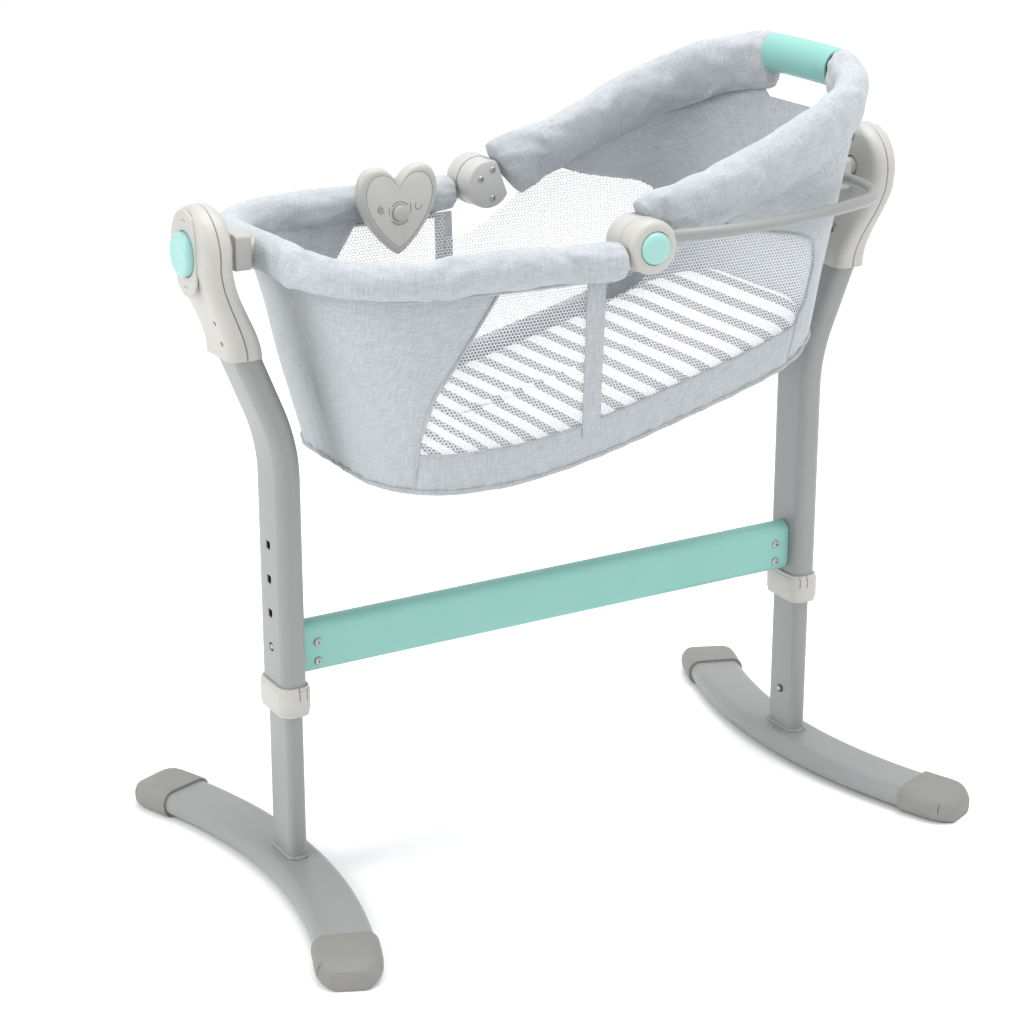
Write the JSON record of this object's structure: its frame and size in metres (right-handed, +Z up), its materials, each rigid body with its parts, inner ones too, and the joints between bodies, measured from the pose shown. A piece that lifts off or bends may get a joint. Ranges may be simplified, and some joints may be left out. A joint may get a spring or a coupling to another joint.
{
  "type": "baby cradle",
  "caption": "Swinging baby cradle: a soft basket with mesh sides, a sloped rim and a carry grip, hung between two hubs on a height-adjustable stand with bowed feet.",
  "frame": {"origin": "centre of the footprint, on the floor", "axes": "+Z up, +X towards the raised head end, -Y towards the handrail side without the soother"},
  "size_m": [0.865, 0.5404, 0.8507],
  "materials": {
    "tube_paint": "satin powder coat on steel tube",
    "off_white_plastic": "fine matt moulded plastic",
    "grey_plastic": "satin moulded plastic",
    "mint_plastic": "satin moulded plastic",
    "button_mint": "soft gloss moulded plastic",
    "zinc_screw": "zinc plated steel",
    "cap_rubber": "matt grip rubber",
    "heather_fabric": "heathered linen-weave fabric over wadding",
    "mesh_cloth": "warp-knitted see-through mesh",
    "board_plastic": "fabric-covered base board",
    "sheet_cloth": "cotton sheet with soft grey stripes"
  },
  "bodies": {
    "frame": {"crossbar": "mint_plastic", "post_foot": "tube_paint", "collar_foot": "off_white_plastic", "hub_outer_shell_foot": "off_white_plastic", "hub_inner_shell_foot": "off_white_plastic", "hub_cover_foot": "off_white_plastic", "hub_screw_upper_foot": "zinc_screw", "hub_screw_lower_foot": "zinc_screw", "crossbar_screw_foot_upper": "zinc_screw", "crossbar_screw_foot_lower": "zinc_screw", "post_head": "tube_paint", "collar_head": "off_white_plastic", "hub_outer_shell_head": "off_white_plastic", "hub_inner_shell_head": "off_white_plastic", "hub_cover_head": "off_white_plastic", "hub_screw_upper_head": "zinc_screw", "hub_screw_lower_head": "zinc_screw", "crossbar_screw_head_upper": "zinc_screw", "crossbar_screw_head_lower": "zinc_screw"},
    "base_foot": {"leg_foot": "tube_paint", "base_bar_foot": "tube_paint", "base_cap_far_foot": "cap_rubber", "base_cap_near_foot": "cap_rubber", "leg_stop_foot": "zinc_screw"},
    "height_button_foot": {"height_button_foot": "zinc_screw"},
    "hub_button_foot": {"hub_button_foot": "button_mint"},
    "base_head": {"leg_head": "tube_paint", "base_bar_head": "tube_paint", "base_cap_far_head": "cap_rubber", "base_cap_near_head": "cap_rubber", "leg_stop_head": "zinc_screw"},
    "height_button_head": {"height_button_head": "zinc_screw"},
    "hub_button_head": {"hub_button_head": "button_mint"},
    "basket": {"foot_rim_tube": "tube_paint", "support_tube": "tube_paint", "pivot_bracket_foot": "off_white_plastic", "pivot_bracket_head": "off_white_plastic", "pivot_shaft_foot": "zinc_screw", "pivot_shaft_head": "zinc_screw", "foot_wall": "heather_fabric", "head_wall": "heather_fabric", "side_panel_far": "mesh_cloth", "side_panel_near": "mesh_cloth", "floor_board": "board_plastic", "mattress": "sheet_cloth", "foot_sleeve": "heather_fabric", "hinge_outer_far": "off_white_plastic", "hinge_outer_near": "off_white_plastic", "soother_case": "off_white_plastic", "soother_face": "grey_plastic", "soother_clip": "off_white_plastic"},
    "head_rim": {"head_rim_tube": "tube_paint", "hinge_inner_far": "grey_plastic", "hinge_inner_near": "grey_plastic", "head_sleeve": "heather_fabric", "carry_grip": "mint_plastic"},
    "side_button_far": {"side_button_far": "button_mint"},
    "side_button_near": {"side_button_near": "button_mint"},
    "soother_key": {"soother_key": "off_white_plastic"}
  },
  "joints": [
    {"name": "height_slide_foot", "type": "slide", "parent": "frame", "child": "base_foot", "axis": [0, 0, 1], "range_m": [0, 0.114]},
    {"name": "height_slide_head", "type": "slide", "parent": "frame", "child": "base_head", "axis": [0, 0, 1], "range_m": [0, 0.114]},
    {"name": "height_button_foot_press", "type": "slide", "parent": "base_foot", "child": "height_button_foot", "axis": [1, 0, 0], "range_m": [0, 0.003], "stiffness_N_per_m": 800},
    {"name": "height_button_head_press", "type": "slide", "parent": "base_head", "child": "height_button_head", "axis": [-1, 0, 0], "range_m": [0, 0.003], "stiffness_N_per_m": 800},
    {"name": "hub_button_foot_press", "type": "slide", "parent": "frame", "child": "hub_button_foot", "axis": [1, 0, 0], "range_m": [0, 0.004], "stiffness_N_per_m": 800},
    {"name": "hub_button_head_press", "type": "slide", "parent": "frame", "child": "hub_button_head", "axis": [-1, 0, 0], "range_m": [0, 0.004], "stiffness_N_per_m": 800},
    {"name": "basket_swing", "type": "hinge", "parent": "frame", "child": "basket", "pos_m": [0, 0, 0.703], "axis": [1, 0, 0], "range_deg": [-10, 10]},
    {"name": "head_rim_fold", "type": "hinge", "parent": "basket", "child": "head_rim", "pos_m": [0.002, 0, 0.697], "axis": [0, 1, 0], "range_deg": [0, 8]},
    {"name": "side_button_far_press", "type": "slide", "parent": "basket", "child": "side_button_far", "axis": [0, -1, 0], "range_m": [0, 0.004], "stiffness_N_per_m": 800},
    {"name": "side_button_near_press", "type": "slide", "parent": "basket", "child": "side_button_near", "axis": [0, 1, 0], "range_m": [0, 0.004], "stiffness_N_per_m": 800},
    {"name": "soother_key_press", "type": "slide", "parent": "basket", "child": "soother_key", "axis": [0, 1, 0], "range_m": [0, 0.0015], "stiffness_N_per_m": 400}
  ],
  "couplings": [
    {"joint": "height_slide_head", "follows": "height_slide_foot", "ratio": 1}
  ]
}
